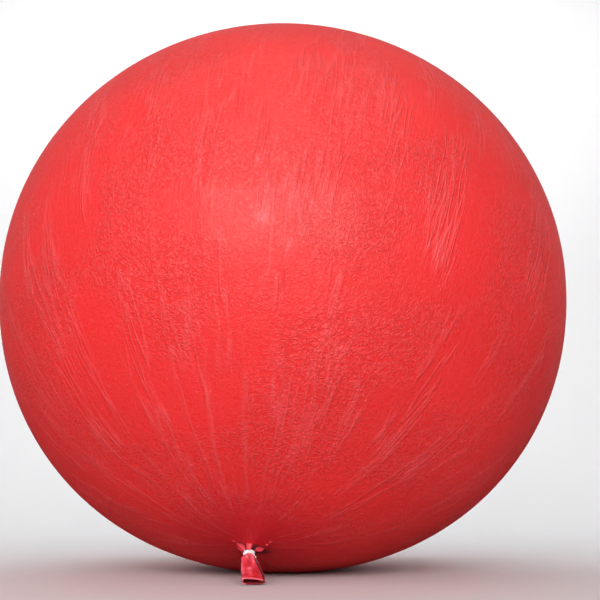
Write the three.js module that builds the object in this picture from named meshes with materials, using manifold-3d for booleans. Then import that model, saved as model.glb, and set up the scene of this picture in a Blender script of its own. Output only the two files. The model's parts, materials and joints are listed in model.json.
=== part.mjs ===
// A giant latex balloon, blown up, tied off at the neck and sitting on a floor with its tail beside it.
// Millimetres, +Z up. The origin is the middle of the flat patch that the balloon sits on.
// The neck comes out low at the front (-Y) and a little to the left (-X), and the tail runs forward from it.
import * as THREE from "three";
import { mergeVertices } from "three/addons/utils/BufferGeometryUtils.js";
import Module from "manifold-3d";

const wasm = await Module();
wasm.setup();

// The inflated body: widest at its equator, a little flatter than a ball, fuller below than above
const BODY_RADIUS = 457;
const EQUATOR_Z = 441;
const CROWN_RISE = 441;
const BELLY_DROP = 444; // 3 mm more than the equator's height, which the floor presses flat
const CROWN_FULLNESS = 2; // 2 is an ellipse
const BELLY_FULLNESS = 2.09;
const WALL = 10;
const BODY_SEGMENTS = 72;
const BODY_STEPS = 30;
const CAVITY_SEGMENTS = 48;
const CAVITY_STEPS = 16;

// The neck's direction from the middle of the body, and where the tie lies on it
const NECK_FROM_DOWN = THREE.MathUtils.degToRad(29.8);
const NECK_TO_LEFT = THREE.MathUtils.degToRad(10.5);
const TIE_STAND_OFF = 13.5;

// The pleated throat, gathered from the body's skin into the tie
const THROAT_BORE = 27;
const SEAT_GAP = 0.3;
const PLEAT_POINTS = 72;
const TIE_ROOM = 9.1; // the round hollow in the pleats that the tie turns in
const THROAT_NOSE_RADIUS = 3.1;

// The tie: turns of white cord round the gathered neck
const CORD_DIAMETER = 1.8;
const CORD_TURNS = 3;
const TIE_BORE = 5.9;
const TIE_SEGMENTS = 24;
const KNOT_RADIUS = 2.2;
const KNOT_AT = THREE.MathUtils.degToRad(150);

// The gathered latex inside the tie: a knuckle that the neck bends on, flat below, where the tail folds
const KNUCKLE_RADIUS = 5.6;
const KNUCKLE_FLAT_OUT = 3.2;

// The tail: a flattened sleeve that curves down from the tie to the floor
const TAIL_ROOT_WIDTH = 19;
const TAIL_ROOT_RADIUS = 3.5;
const TAIL_STIFF_RUN = 18; // how far it keeps the neck's direction
const MOUTH_FORWARD = 38;
const MOUTH_RIGHT = 7.6;
const MOUTH_RISE = 6.2; // its middle above the floor, which leaves the lip about 0.1 clear of it
const SLEEVE_WALL = 1.4;
const SLEEVE_POINTS = 40;
const SLEEVE_SQUARENESS = 0.8; // 1 is an oval, less is squarer
const LIP_RADIUS = 1.5;
const LIP_SIDES = 8;

const LATEX_RED = new THREE.MeshStandardMaterial({ color: 0xd6242e, roughness: 0.42, metalness: 0 });
const TAIL_RED = new THREE.MeshStandardMaterial({ color: 0xc8202c, roughness: 0.35, metalness: 0 });
const CORD_WHITE = new THREE.MeshStandardMaterial({ color: 0xf2efe8, roughness: 0.85, metalness: 0 });

// A closed geometry as a solid that can be cut and joined, and back again
function solid(geometry) {
  const bare = geometry.clone();
  bare.deleteAttribute("normal");
  bare.deleteAttribute("uv");
  const merged = mergeVertices(bare, 1e-4);
  return new wasm.Manifold(
    new wasm.Mesh({
      numProp: 3,
      vertProperties: new Float32Array(merged.attributes.position.array),
      triVerts: new Uint32Array(merged.index.array),
    }),
  );
}

function geometryOf(manifold) {
  const mesh = manifold.getMesh();
  const geometry = new THREE.BufferGeometry();
  geometry.setAttribute("position", new THREE.BufferAttribute(new Float32Array(mesh.vertProperties), 3));
  geometry.setIndex(new THREE.BufferAttribute(new Uint32Array(mesh.triVerts), 1));
  return geometry;
}

// A skin through like rings of points. An open run is closed by a fan at each end, a loop by its first ring.
function loft(rings, isLoop = false) {
  const count = rings[0].length;
  const corners = rings.flat();
  const faces = [];
  const bands = isLoop ? rings.length : rings.length - 1;
  for (let i = 0; i < bands; i++) {
    const here = i * count;
    const next = ((i + 1) % rings.length) * count;
    for (let j = 0; j < count; j++) {
      const k = (j + 1) % count;
      faces.push(here + j, here + k, next + k, here + j, next + k, next + j);
    }
  }
  if (!isLoop) {
    for (const [first, isStart] of [[0, true], [(rings.length - 1) * count, false]]) {
      const middle = corners.length;
      const ring = corners.slice(first, first + count);
      corners.push(ring.reduce((sum, p) => sum.add(p), new THREE.Vector3()).divideScalar(count));
      for (let j = 0; j < count; j++) {
        const k = (j + 1) % count;
        faces.push(middle, ...(isStart ? [first + k, first + j] : [first + j, first + k]));
      }
    }
  }
  const geometry = new THREE.BufferGeometry().setFromPoints(corners);
  geometry.setIndex(faces);
  return geometry;
}

function ball(radius, centre, segments = 24) {
  const geometry = new THREE.SphereGeometry(radius, segments, segments / 2);
  return solid(geometry.translate(centre.x, centre.y, centre.z));
}

// A round bar from one point to another
function bar(radius, from, to, segments = 24) {
  const run = to.clone().sub(from);
  const geometry = new THREE.CylinderGeometry(radius, radius, run.length(), segments);
  const turn = new THREE.Quaternion().setFromUnitVectors(new THREE.Vector3(0, 1, 0), run.clone().normalize());
  const middle = from.clone().add(to).multiplyScalar(0.5);
  return solid(geometry.applyQuaternion(turn).translate(middle.x, middle.y, middle.z));
}

// The body's outline, inset by a wall: half-width and height at an angle up from the equator
function outlinePoint(angle, inset) {
  const isCrown = angle >= 0;
  const power = 2 / (isCrown ? CROWN_FULLNESS : BELLY_FULLNESS);
  const height = (isCrown ? CROWN_RISE : BELLY_DROP) - inset;
  const across = (BODY_RADIUS - inset) * Math.cos(angle) ** power;
  const up = height * Math.abs(Math.sin(angle)) ** power * Math.sign(angle);
  return new THREE.Vector2(across, EQUATOR_Z + up);
}

// The whole outline turned about Z, flat where the floor, or the wall on it, cuts it off
function bodySolid(inset, segments, steps) {
  const outline = [];
  for (let i = 0; i <= steps; i++) {
    outline.push(outlinePoint(Math.PI * (i / steps - 0.5), inset));
  }
  outline[0].x = 0;
  outline[steps].x = 0;
  const turned = new THREE.LatheGeometry(outline, segments).rotateX(Math.PI / 2);
  const floor = new THREE.BoxGeometry(4 * BODY_RADIUS, 4 * BODY_RADIUS, BODY_RADIUS);
  floor.translate(0, 0, inset - BODY_RADIUS / 2);
  return solid(turned).subtract(solid(floor));
}

// How far the body's surface lies from its middle, along a direction
function surfaceDistance(direction) {
  const isCrown = direction.z >= 0;
  const power = isCrown ? CROWN_FULLNESS : BELLY_FULLNESS;
  const across = Math.hypot(direction.x, direction.y) / BODY_RADIUS;
  const up = Math.abs(direction.z) / (isCrown ? CROWN_RISE : BELLY_DROP);
  return (across ** power + up ** power) ** (-1 / power);
}

// The neck's own frame: out along its axis, right across it, and up the body's skin
const MIDDLE = new THREE.Vector3(0, 0, EQUATOR_Z);
const OUT = new THREE.Vector3(
  -Math.sin(NECK_FROM_DOWN) * Math.sin(NECK_TO_LEFT),
  -Math.sin(NECK_FROM_DOWN) * Math.cos(NECK_TO_LEFT),
  -Math.cos(NECK_FROM_DOWN),
);
const RIGHT = new THREE.Vector3(0, 0, 1).cross(OUT).normalize();
const UP_SKIN = OUT.clone().cross(RIGHT);
const NECK_ROOT = MIDDLE.clone().addScaledVector(OUT, surfaceDistance(OUT));
const TIE_MIDDLE = NECK_ROOT.clone().addScaledVector(OUT, TIE_STAND_OFF);
const TAIL_PIVOT = TIE_MIDDLE.clone().addScaledVector(OUT, KNUCKLE_FLAT_OUT + SEAT_GAP + TAIL_ROOT_RADIUS);

function neckPoint(along, radius, angle) {
  return TIE_MIDDLE.clone()
    .addScaledVector(OUT, along)
    .addScaledVector(RIGHT, radius * Math.cos(angle))
    .addScaledVector(UP_SKIN, radius * Math.sin(angle));
}

// Each pleat: its place round the neck in degrees from the right, its half-width in degrees and its height
const PLEATS = [
  [-11, 20, 1.0],
  [56, 9, 0.5],
  [88, 14, 0.9],
  [118, 9, 0.5],
  [149, 14, 0.9],
  [187, 9, 0.65],
  [216, 14, 0.85],
  [247, 10, 0.65],
  [278, 15, 0.85],
  [314, 11, 0.65],
].map(([at, halfWidth, height]) => ({ at, halfWidth, height }));

function pleatHeight(angle) {
  const degrees = THREE.MathUtils.radToDeg(angle);
  const heights = PLEATS.map(({ at, halfWidth, height }) => {
    const away = Math.abs(((degrees - at + 540) % 360) - 180) / halfWidth;
    return height * Math.exp(-away * away);
  });
  return Math.max(...heights);
}

// Sections of the throat, from inside the wall out to the tie: place along the neck from the tie,
// radius between pleats, and how far a full pleat stands out
const THROAT_SECTIONS = [
  [-24.2, 26.4, 0],
  [-14.4, 26.6, 0],
  [-13.4, 22.5, 1.2],
  [-12.0, 17.5, 4.2],
  [-10.4, 12.5, 6.4],
  [-9.0, 9.0, 5.6],
  [-7.9, 6.0, 2.2],
].map(([along, radius, pleat]) => ({ along, radius, pleat }));

function throatRings() {
  return THROAT_SECTIONS.map(({ along, radius, pleat }) =>
    Array.from({ length: PLEAT_POINTS }, (_, i) => {
      const angle = (2 * Math.PI * i) / PLEAT_POINTS;
      return neckPoint(along, radius + pleat * pleatHeight(angle), angle);
    }),
  );
}

function makeEnvelope() {
  const bore = bar(THROAT_BORE, neckPoint(-80, 0, 0), neckPoint(20, 0, 0), 48);
  const skin = bodySolid(0, BODY_SEGMENTS, BODY_STEPS).subtract(bodySolid(WALL, CAVITY_SEGMENTS, CAVITY_STEPS));
  return geometryOf(skin.subtract(bore));
}

function makeThroat() {
  const nose = bar(THROAT_NOSE_RADIUS, neckPoint(-12, 0, 0), neckPoint(-4, 0, 0));
  const pleated = solid(loft(throatRings())).subtract(ball(TIE_ROOM, TIE_MIDDLE));
  return geometryOf(pleated.add(nose).subtract(ball(KNUCKLE_RADIUS + SEAT_GAP, TIE_MIDDLE)));
}

function makeNeckCore() {
  const below = neckPoint(KNUCKLE_FLAT_OUT, 0, 0);
  const cut = bar(2 * KNUCKLE_RADIUS, below, neckPoint(2 * KNUCKLE_RADIUS, 0, 0));
  return geometryOf(ball(KNUCKLE_RADIUS, TIE_MIDDLE).subtract(cut));
}

// Turns of cord side by side: their outline is a row of half-rounds on a straight bore
function makeTieBand() {
  const cordRadius = CORD_DIAMETER / 2;
  const width = CORD_TURNS * CORD_DIAMETER;
  const outline = [new THREE.Vector2(TIE_BORE, -width / 2)];
  for (let turn = 0; turn < CORD_TURNS; turn++) {
    const middle = (turn - (CORD_TURNS - 1) / 2) * CORD_DIAMETER;
    for (const degrees of [-75, -30, 30, 75]) {
      const angle = THREE.MathUtils.degToRad(degrees);
      const across = TIE_BORE + cordRadius + cordRadius * Math.cos(angle);
      outline.push(new THREE.Vector2(across, middle + cordRadius * Math.sin(angle)));
    }
  }
  outline.push(new THREE.Vector2(TIE_BORE, width / 2));
  outline.push(outline[0].clone());
  const turned = new THREE.LatheGeometry(outline, TIE_SEGMENTS);
  const turn = new THREE.Quaternion().setFromUnitVectors(new THREE.Vector3(0, 1, 0), OUT);
  turned.applyQuaternion(turn).translate(TIE_MIDDLE.x, TIE_MIDDLE.y, TIE_MIDDLE.z);
  return geometryOf(solid(turned));
}

// The cord's two ends at the knot, cut short: how far each reaches along the neck, and outwards
const CORD_ENDS = [
  [3.0, 0.8],
  [-2.6, 1.2],
].map(([along, outward]) => ({ along, outward }));

function makeTieKnot() {
  const outside = TIE_BORE + CORD_DIAMETER + SEAT_GAP;
  const keepOff = bar(outside, neckPoint(-12, 0, 0), neckPoint(12, 0, 0), 48);
  const seat = outside + KNOT_RADIUS / 3;
  let knot = ball(KNOT_RADIUS, neckPoint(0, seat, KNOT_AT), 16);
  for (const { along, outward } of CORD_ENDS) {
    const tip = neckPoint(along, seat + outward, KNOT_AT);
    knot = knot.add(bar(CORD_DIAMETER / 2, neckPoint(0, seat, KNOT_AT), tip, 12));
  }
  return geometryOf(knot.subtract(keepOff));
}

// The sleeve's middle line: out along the neck, then forward to a mouth whose lip rests on the floor
const BEND = TAIL_PIVOT.clone().addScaledVector(OUT, TAIL_STIFF_RUN);

// Sections of the sleeve: share of the way from the tie to the mouth, how far its left and right edges
// stand from the middle line, and its height
const SLEEVE_SECTIONS = [
  [0.0, 9.0, 9.4, 6.6],
  [0.1, 9.5, 12.8, 7.0],
  [0.38, 9.9, 17.0, 8.2],
  [0.72, 11.9, 17.8, 9.2],
  [1.0, 13.4, 16.8, 10],
].map(([share, left, right, height]) => ({ share, left, right, height }));
const MOUTH = SLEEVE_SECTIONS[SLEEVE_SECTIONS.length - 1];
const MOUTH_MIDDLE = new THREE.Vector3(TAIL_PIVOT.x + MOUTH_RIGHT, TAIL_PIVOT.y - MOUTH_FORWARD, MOUTH_RISE);
const SLEEVE_PATH = new THREE.QuadraticBezierCurve3(TAIL_PIVOT, BEND, MOUTH_MIDDLE);

// A point round a section of the sleeve, drawn in by an inset: a flat-sided oval across the path, whose
// right is level and whose up is square to both
function sleevePoint({ share, left, right, height }, inset, past, angle) {
  const ahead = SLEEVE_PATH.getTangentAt(share);
  const level = new THREE.Vector3(0, 0, 1).cross(ahead).normalize();
  const up = ahead.clone().cross(level);
  const across = Math.sign(Math.cos(angle)) * Math.abs(Math.cos(angle)) ** SLEEVE_SQUARENESS;
  const rise = Math.sign(Math.sin(angle)) * Math.abs(Math.sin(angle)) ** SLEEVE_SQUARENESS;
  return SLEEVE_PATH.getPointAt(share)
    .addScaledVector(ahead, past)
    .addScaledVector(level, (right - left) / 2 + ((right + left) / 2 - inset) * across)
    .addScaledVector(up, (height / 2 - inset) * rise);
}

function sleeveRing(section, inset = 0, past = 0) {
  return Array.from({ length: SLEEVE_POINTS }, (_, i) =>
    sleevePoint(section, inset, past, (2 * Math.PI * i) / SLEEVE_POINTS),
  );
}

function makeTail() {
  const outside = SLEEVE_SECTIONS.map((section) => sleeveRing(section));
  const [, rootEnd, ...open] = SLEEVE_SECTIONS;
  const hollow = open.map((section) => sleeveRing(section, SLEEVE_WALL));
  hollow.unshift(sleeveRing(rootEnd, 1.5 * SLEEVE_WALL)); // the hollow closes towards the tie
  hollow.push(sleeveRing(MOUTH, SLEEVE_WALL, 2 * SLEEVE_WALL));
  const root = new THREE.CapsuleGeometry(TAIL_ROOT_RADIUS, TAIL_ROOT_WIDTH - 2 * TAIL_ROOT_RADIUS, 6, 24);
  const turn = new THREE.Quaternion().setFromUnitVectors(new THREE.Vector3(0, 1, 0), RIGHT);
  root.applyQuaternion(turn).translate(TAIL_PIVOT.x, TAIL_PIVOT.y, TAIL_PIVOT.z);
  return geometryOf(solid(loft(outside)).add(solid(root)).subtract(solid(loft(hollow))));
}

// The rolled lip: a round bead that runs along the sleeve's wall, just past its edge
function makeLip() {
  const ahead = SLEEVE_PATH.getTangentAt(1);
  const past = LIP_RADIUS + SEAT_GAP;
  const middles = sleeveRing(MOUTH, SLEEVE_WALL / 2, past);
  const centre = middles.reduce((sum, point) => sum.add(point), new THREE.Vector3()).divideScalar(SLEEVE_POINTS);
  const rings = middles.map((point) => {
    const outward = point.clone().sub(centre).normalize();
    return Array.from({ length: LIP_SIDES }, (_, i) => {
      const angle = (2 * Math.PI * i) / LIP_SIDES;
      return point
        .clone()
        .addScaledVector(outward, LIP_RADIUS * Math.sin(angle))
        .addScaledVector(ahead, LIP_RADIUS * Math.cos(angle));
    });
  });
  return geometryOf(solid(loft(rings, true)));
}

const balloon = new THREE.Group();
for (const [name, make, material] of [
  ["envelope", makeEnvelope, LATEX_RED],
  ["throat", makeThroat, LATEX_RED],
  ["neck_core", makeNeckCore, TAIL_RED],
  ["tie_band", makeTieBand, CORD_WHITE],
  ["tie_knot", makeTieKnot, CORD_WHITE],
  ["tail_sleeve", makeTail, TAIL_RED],
  ["tail_lip", makeLip, TAIL_RED],
]) {
  const mesh = new THREE.Mesh(make(), material);
  mesh.name = name;
  balloon.add(mesh);
}

export default balloon;
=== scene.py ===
import json
import math

import bpy
import numpy as np
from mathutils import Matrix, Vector


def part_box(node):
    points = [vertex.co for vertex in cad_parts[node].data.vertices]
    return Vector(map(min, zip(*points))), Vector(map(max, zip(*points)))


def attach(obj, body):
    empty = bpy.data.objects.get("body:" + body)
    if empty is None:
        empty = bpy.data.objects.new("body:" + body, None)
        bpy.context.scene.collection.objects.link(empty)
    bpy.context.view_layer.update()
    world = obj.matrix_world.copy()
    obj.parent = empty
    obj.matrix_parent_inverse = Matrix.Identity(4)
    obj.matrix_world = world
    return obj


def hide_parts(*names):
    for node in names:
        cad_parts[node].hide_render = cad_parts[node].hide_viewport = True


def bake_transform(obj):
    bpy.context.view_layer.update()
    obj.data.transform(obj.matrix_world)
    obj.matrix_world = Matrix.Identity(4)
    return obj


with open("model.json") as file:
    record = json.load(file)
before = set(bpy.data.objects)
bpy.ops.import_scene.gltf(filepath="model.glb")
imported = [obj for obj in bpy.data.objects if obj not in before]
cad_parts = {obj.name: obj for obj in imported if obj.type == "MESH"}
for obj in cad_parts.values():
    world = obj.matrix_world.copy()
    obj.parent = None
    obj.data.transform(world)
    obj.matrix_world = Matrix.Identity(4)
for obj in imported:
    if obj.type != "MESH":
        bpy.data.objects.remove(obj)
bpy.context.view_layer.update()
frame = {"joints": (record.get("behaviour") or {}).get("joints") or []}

# The camera stands low in front of the balloon, a little to the right of its middle,
# and is tilted up at it. The lens is given for a 36 mm frame.
CAMERA_PLACE = (0.0263, -1.490, 0.1053)
CAMERA_TILT_UP = math.radians(12.6)
CAMERA_LENS = 54.24

bpy.ops.object.camera_add(location=CAMERA_PLACE, rotation=(math.radians(90) + CAMERA_TILT_UP, 0, 0))
camera = bpy.context.object
camera.name = "camera"
camera.data.lens = CAMERA_LENS
bpy.context.scene.camera = camera

# The studio: a pale floor that sweeps up into a backdrop, two wide soft boxes in front, a fill on either
# side, a lamp for the backdrop, and a glow from the room. A window-like soft box high behind the camera
# and a white ceiling only show mirrored in the latex, and the window's one bright pane lights it as well.
FLOOR_HALF = 5.0
FLOOR_DROP = 0.0002
FLOOR_COLOUR = (0.70, 0.70, 0.71, 1)
FLOOR_ROUGHNESS = 0.85
BACKDROP_START = 2.6
BACKDROP_RISE = 4.0
BACKDROP_BEND = 1.2
BEND_STEPS = 24
NEAR = 1e-4
# Each light: name, place, what it points at, size, watts, colour, whether it lights matt surfaces, and
# whether the latex mirrors it
WHITE = (1.0, 1.0, 1.0)
WARM = (1.0, 0.96, 0.86)
LIGHTS = [
    ("window_light", (-0.42, -2.6, 2.05), (-0.25, -0.1, 1.33), (1.65, 1.75), 19, WARM, False, True),
    ("window_pane", (-0.276, -2.59, 1.12), (-0.12, -0.1, 0.44), (0.13, 0.18), 3.8, WHITE, True, True),
    ("ceiling", (0, -0.9, 2.9), (0, 0, 0.45), (3.6, 2.2), 26, WARM, False, True),
    ("front_light", (0, -4.0, 1.7), (0, 0, 0.45), (4.0, 1.6), 108, WHITE, True, True),
    ("low_front_light", (0, -4.0, 0.9), (0, 0, 0.5), (4.0, 0.8), 29, WHITE, True, False),
    ("left_fill", (-3.2, -1.6, 1.3), (0, 0, 0.45), (2.4, 2.4), 30, WHITE, True, False),
    ("right_fill", (3.2, -1.6, 1.3), (0, 0, 0.45), (2.4, 2.4), 12, WHITE, True, False),
    ("backdrop_lamp", (0, 0.9, 2.6), (0, 2.6, 1.2), (4.0, 0.6), 60, WHITE, True, False),
]
# The room glows from above, and not from below: the rise of a look 1 long where the glow starts and where
# it is full. What the camera itself sees of the room, past the backdrop, is as pale as the floor.
ROOM_GLOW = 0.29
ROOM_GLOW_RISE = (-0.1, 0.3)
ROOM_SEEN = (0.72, 0.72, 0.74, 1)


def select_far_edge():
    """The floor's far edge, where the backdrop rises, is selected alone."""
    for edge in floor.data.edges:
        ends = [floor.data.vertices[i].co for i in edge.vertices]
        edge.select = all(abs(end.y - BACKDROP_START) < NEAR and abs(end.z) < NEAR for end in ends)


def new_paint(name):
    """A material made of nodes: itself, its tree and its shader."""
    paint = bpy.data.materials.new(name)
    paint.use_nodes = True
    return paint, paint.node_tree, paint.node_tree.nodes["Principled BSDF"]


def set_socket(socket, value):
    """A node's input is linked to another node's output, or set. None leaves it alone."""
    if isinstance(value, bpy.types.NodeSocket):
        socket.id_data.links.new(value, socket)
    elif value is not None:
        socket.default_value = value


def set_named(node, values):
    """A node's inputs are linked or set by their names."""
    for name, value in values.items():
        set_socket(node.inputs[name], value)


def node_in(tree, kind, *values, **settings):
    """A new node: its settings made, and its inputs linked or set in their order."""
    made = tree.nodes.new("ShaderNode" + kind)
    for setting, value in settings.items():
        setattr(made, setting, value)
    for socket, value in zip(made.inputs, values):
        set_socket(socket, value)
    return made


def ramp(tree, value, low, high, at_low=0.0, at_high=1.0, **settings):
    """One number where a value is low, another where it is high, and even between."""
    return node_in(tree, "MapRange", value, low, high, at_low, at_high, **settings).outputs[0]


bpy.ops.object.select_all(action="DESELECT")
bpy.ops.mesh.primitive_plane_add(size=2 * FLOOR_HALF, location=(0, 0, -FLOOR_DROP))
floor = bpy.context.object
floor.name = "floor"
bpy.ops.object.mode_set(mode="EDIT")
bpy.ops.mesh.select_all(action="SELECT")
bpy.ops.mesh.bisect(plane_co=(0, BACKDROP_START, 0), plane_no=(0, 1, 0), clear_outer=True)
bpy.ops.mesh.select_all(action="DESELECT")
bpy.ops.object.mode_set(mode="OBJECT")
select_far_edge()
bpy.context.tool_settings.mesh_select_mode = (False, True, False)
bpy.ops.object.mode_set(mode="EDIT")
bpy.ops.mesh.extrude_region_move(TRANSFORM_OT_translate={"value": (0, 0, BACKDROP_RISE)})
bpy.ops.object.mode_set(mode="OBJECT")
select_far_edge()
bpy.ops.object.mode_set(mode="EDIT")
bpy.ops.mesh.bevel(offset=BACKDROP_BEND, segments=BEND_STEPS, affect="EDGES")
bpy.ops.object.mode_set(mode="OBJECT")
bpy.ops.object.shade_smooth()
floor_paint, _, floor_shader = new_paint("floor_paint")
set_named(floor_shader, {"Base Color": FLOOR_COLOUR, "Roughness": FLOOR_ROUGHNESS})
floor.data.materials.append(floor_paint)
floor.visible_glossy = False

for name, place, aim, size, watts, colour, is_lighting, is_mirrored in LIGHTS:
    bpy.ops.object.light_add(type="AREA", location=place)
    light = bpy.context.object
    light.name = name
    light.data.shape = "RECTANGLE"
    light.data.size, light.data.size_y = size
    light.data.energy = watts
    light.data.color = colour
    light.rotation_euler = (Vector(aim) - Vector(place)).to_track_quat("-Z", "Y").to_euler()
    light.visible_diffuse = is_lighting
    light.visible_glossy = is_mirrored
    light.visible_camera = False

room = bpy.data.worlds.new("room")
room.use_nodes = True
room_tree = room.node_tree
look = node_in(room_tree, "TexCoord").outputs["Generated"]
look_rise = node_in(room_tree, "SeparateXYZ", look).outputs["Z"]
glow = room_tree.nodes["Background"]
set_named(glow, {"Color": ramp(room_tree, look_rise, *ROOM_GLOW_RISE), "Strength": ROOM_GLOW})
pale_wall = node_in(room_tree, "Background", ROOM_SEEN)
is_seen = node_in(room_tree, "LightPath").outputs["Is Camera Ray"]
seen_or_glow = node_in(room_tree, "MixShader", is_seen, glow.outputs[0], pale_wall.outputs[0])
set_named(room_tree.nodes["World Output"], {"Surface": seen_or_glow.outputs[0]})
bpy.context.scene.world = room
bpy.context.scene.view_settings.view_transform = "Standard"

# The skin: one dipped film of red latex, stretched round by the air, with a flat patch where it sits.
# At the neck it is gathered into tall folds, some blown up like pillows, that run into the tie.
joints = {joint["name"]: joint for joint in frame["joints"]}
TIE = Vector(joints["neck_sway"]["pos_m"])
TAIL_PIVOT = Vector(joints["tail_lift"]["pos_m"])
# The neck's own directions: out along it, to its right as the camera sees it, and up over the skin
OUT = (TAIL_PIVOT - TIE).normalized()
RIGHT = -Vector(joints["tail_lift"]["axis"]).normalized()
UP_SKIN = OUT.cross(RIGHT)
body_low, body_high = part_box("envelope")
BODY_RADIUS = (body_high.x - body_low.x) / 2
MIDDLE = Vector((0, 0, body_high.z / 2))
CROWN_RISE = body_high.z - MIDDLE.z
# The floor presses the belly flat: how far in, how softly the patch's edge turns, a distance that stands
# for no patch above, and how full the belly is between the waist and the patch (2 is an ellipse)
PATCH_PRESS = 0.003
PATCH_SOFTNESS = 0.0005
NO_PATCH = 10.0
BELLY_DROP = MIDDLE.z + PATCH_PRESS
BELLY_FULLNESS = 2.09
TINY = 1e-6
SKIN_SEGMENTS = 384
STEM_RINGS = 3
FOLD_RINGS = 96
BODY_RINGS = 116

# From here on, sizes are in millimetres. The stem is the gathered skin right at the tie: it sinks to half
# its height close by, along a curve, and into the body further out.
STEM_RADIUS = 6.0
STEM_CAP_RADIUS = 5.4
STEM_CAP_RISE = 0.3
STEM_HALVED_AT = 1.7
STEM_CURVE = 1.15
STEM_SUNK_AT = 17.0
# Each fold: its place round the neck in degrees from the right, half-width, height at its highest, where
# it starts and ends from the neck's axis, how swollen it is from 0 (taut) to 1, its swerve in degrees on
# the way, and how long its crest stays high (1 falls in a straight line). A fold that starts at 0 runs
# into the tie, and any other is a swelling on its own, highest in its middle.
FOLDS = [
    (-9, 3.8, 8.3, 2.5, 20.9, 1.0, -14, 1.0),
    (8, 1.4, 3.2, 21.5, 28.0, 0.8, 0, 1.0),
    (19, 1.2, 2.7, 30.0, 35.5, 0.8, 0, 1.0),
    (82, 4.8, 13.0, 0, 11.5, 1.0, 3, 2.2),
    (118, 1.6, 6.0, 0, 8.5, 0.3, 2, 1.2),
    (150, 4.2, 13.0, 0, 21.0, 0.9, 17, 1.1),
    (148, 1.5, 2.0, 20.5, 28.0, 0.8, 3, 1.0),
    (187, 1.7, 12.8, 0, 23.0, 0.3, 12, 1.15),
    (228, 3.0, 9.5, 0, 12.0, 0.9, 4, 2.0),
    (258, 2.4, 9.5, 0, 13.0, 0.5, -6, 1.6),
    (284, 4.0, 10.0, 0, 15.0, 1.0, 5, 2.0),
    (315, 2.4, 8.0, 0, 12.0, 0.4, -6, 1.5),
]
# A fold is pinched narrower at the tie, a taut one also runs out narrower, and a swelling keeps a least
# width at its ends
FOLD_PINCH = 0.45
PINCH_REACH = 4.0
FOLD_TAPER = 0.35
LEAST_HUMP = 0.1
# What is coloured as a fold: all of a crest this high, out to an edge counted in half-widths
FULL_CREST = 3.0
FOLD_EDGE = (0.75, 1.25)
# The gathered skin ends at a distance from the neck's axis, and its height over the body fades out before
FOLDS_END = 62.0
LIFT_FADES = (48.0, 61.0)
# Past the stem the folds stay under the cord: how high they may be, and how much higher further out
STEM_EDGE = 0.5
CORD_ROOM = 9.7
CORD_ROOM_MORE = 3.4
CORD_ROOM_GROWS = (8.0, 10.6)
# Ripples: height, how many go round, and the sway of their places: how far, how often, and its start
RIPPLES = [(0.07, 31, 2.5, 3, 0), (0.05, 47, 4.0, 2, 90)]
RIPPLE_FROM = 9.0
RIPPLE_FADES = (26.0, 62.0)
# Painted shadow on the latex below the neck, where the pillow and the neck shade it: each patch's place
# right of the neck's axis and above it, and the reach of the dark either way. Painted shade also rings the
# stem, ending sooner above, and each fold has a painted dark crease along its edges.
SHADOW_PATCHES = [(3.0, -23.0, 22.0, 9.0), (11.0, -17.5, 11.0, 4.5)]
SHADE_DARKNESS = 0.97
STEM_SHADE = (1.5, 12.5)
STEM_SHADE_LESS = 6.0
CREASE_AT = 1.15
CREASE_WIDTH = 0.26
CREASE_SHADE = 0.9


def skin_distance(direction):
    """Distance from the body's middle to its skin along unit directions, with the patch pressed flat."""
    across = np.hypot(direction[:, 0], direction[:, 1]) / BODY_RADIUS
    rise = np.abs(direction[:, 2])
    crown = (across**2 + (rise / CROWN_RISE) ** 2) ** -0.5
    belly = (across**BELLY_FULLNESS + (rise / BELLY_DROP) ** BELLY_FULLNESS) ** (-1 / BELLY_FULLNESS)
    free = np.where(direction[:, 2] > 0, crown, belly)
    patch = np.where(direction[:, 2] < 0, MIDDLE.z / np.maximum(-direction[:, 2], TINY), NO_PATCH)
    share = np.clip(0.5 + 0.5 * (patch - free) / PATCH_SOFTNESS, 0, 1)
    return patch * (1 - share) + free * share - PATCH_SOFTNESS * share * (1 - share)


def fade(value, start, end):
    """0 up to the start, 1 from the end on, and smooth between."""
    share = np.clip((value - start) / (end - start), 0, 1)
    return share * share * (3 - 2 * share)


def rounded(away, swell):
    """1 in the middle and 0 at an edge one away: a straight ridge when taut, a half-round when swollen."""
    return np.clip(1 - np.clip(away, 0, 1) ** (1 + swell), 0, 1) ** (1 - 0.5 * swell)


def read_points(made):
    """The places of a mesh's points, a row for each."""
    points = np.empty(len(made.data.vertices) * 3)
    made.data.vertices.foreach_get("co", points)
    return points.reshape(-1, 3)


def ball_points(segments, rings, name):
    """A ball whose rings of points are to be moved into a shape: the object, ring numbers and angles."""
    bpy.ops.object.select_all(action="DESELECT")
    bpy.ops.mesh.primitive_uv_sphere_add(segments=segments, ring_count=rings)
    made = bpy.context.object
    made.name = name
    points = read_points(made)
    ring = np.rint(rings * np.arccos(np.clip(-points[:, 2], -1, 1)) / math.pi).astype(int)
    return made, ring, np.arctan2(points[:, 1], points[:, 0])


def finish_form(made, points):
    """The points go in, and the faces are turned outwards and shaded smooth."""
    made.data.vertices.foreach_set("co", points.ravel())
    made.data.update()
    bpy.ops.object.mode_set(mode="EDIT")
    bpy.ops.mesh.select_all(action="SELECT")
    bpy.ops.mesh.normals_make_consistent(inside=False)
    bpy.ops.object.mode_set(mode="OBJECT")
    bpy.ops.object.shade_smooth()


def keep_places(made, name, places):
    """The points' places at rest, kept on the mesh, so that a pattern bends with the piece."""
    made.data.attributes.new(name, "FLOAT_VECTOR", "POINT").data.foreach_set("vector", places.ravel())


def keep_values(made, name, values):
    """A number for each point, kept on the mesh for its material."""
    made.data.attributes.new(name, "FLOAT", "POINT").data.foreach_set("value", values)


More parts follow.
